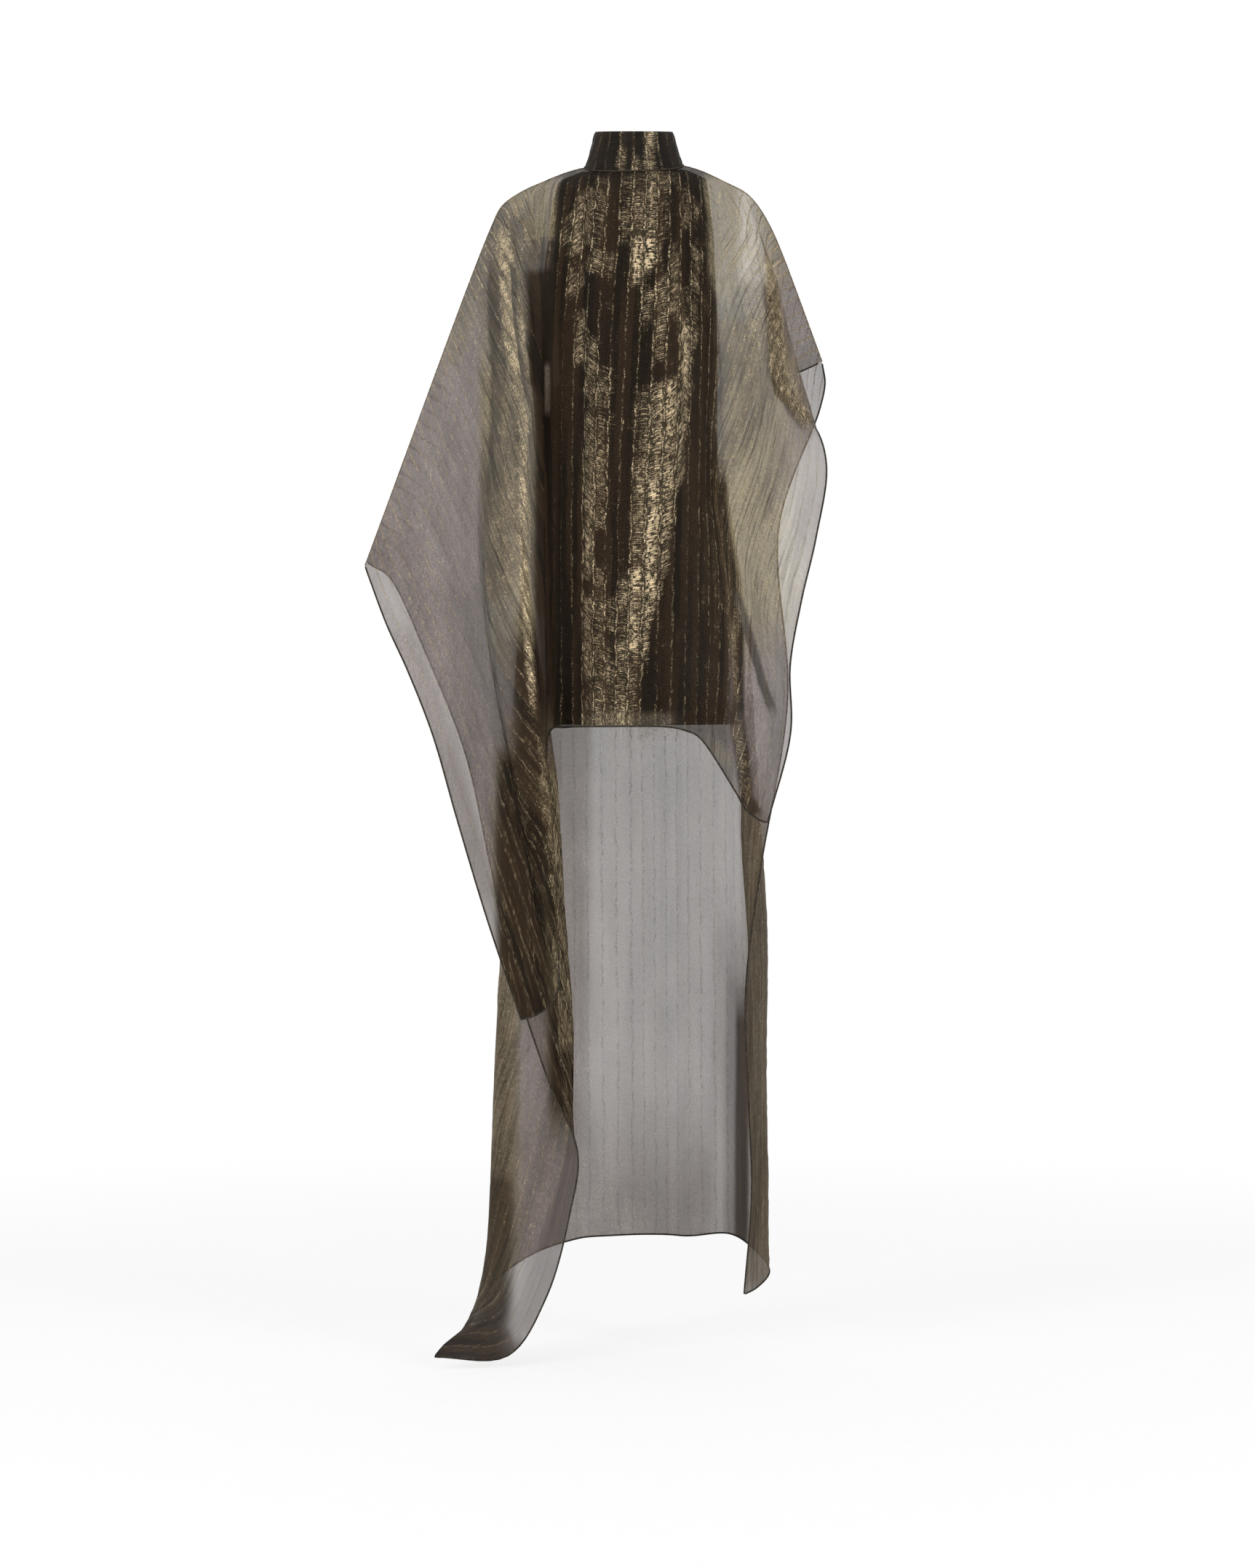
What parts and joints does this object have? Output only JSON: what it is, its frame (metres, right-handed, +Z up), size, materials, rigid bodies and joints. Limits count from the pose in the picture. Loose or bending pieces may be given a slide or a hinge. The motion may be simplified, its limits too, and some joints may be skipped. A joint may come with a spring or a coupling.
{
  "type": "worn high-neck kaftan with its sheer long back panel and opaque underdress",
  "caption": "Worn high-neck kaftan in sheer striped cloth with draped wide sleeves, a short front, a floor-length back and an opaque halter underdress.",
  "frame": {"origin": "the middle of the neck, level with the shoulder end of the neck seam, where the wearer carries it", "axes": "+Z up the neck, the garment's front faces -Y, +X is to the right of someone who looks at the front"},
  "size_m": [0.6802, 0.2863, 1.8012],
  "materials": {
    "sheer_cloth": "sheer metallic-stripe chiffon",
    "underdress_cloth": "opaque matt lining with a faint metal thread",
    "collar_cloth": "opaque crinkled metallic-stripe cloth"
  },
  "bodies": {
    "root": {"collar": "collar_cloth", "front_panel": "sheer_cloth", "back_panel": "sheer_cloth", "slip_front": "underdress_cloth", "slip_back": "underdress_cloth"}
  },
  "joints": []
}
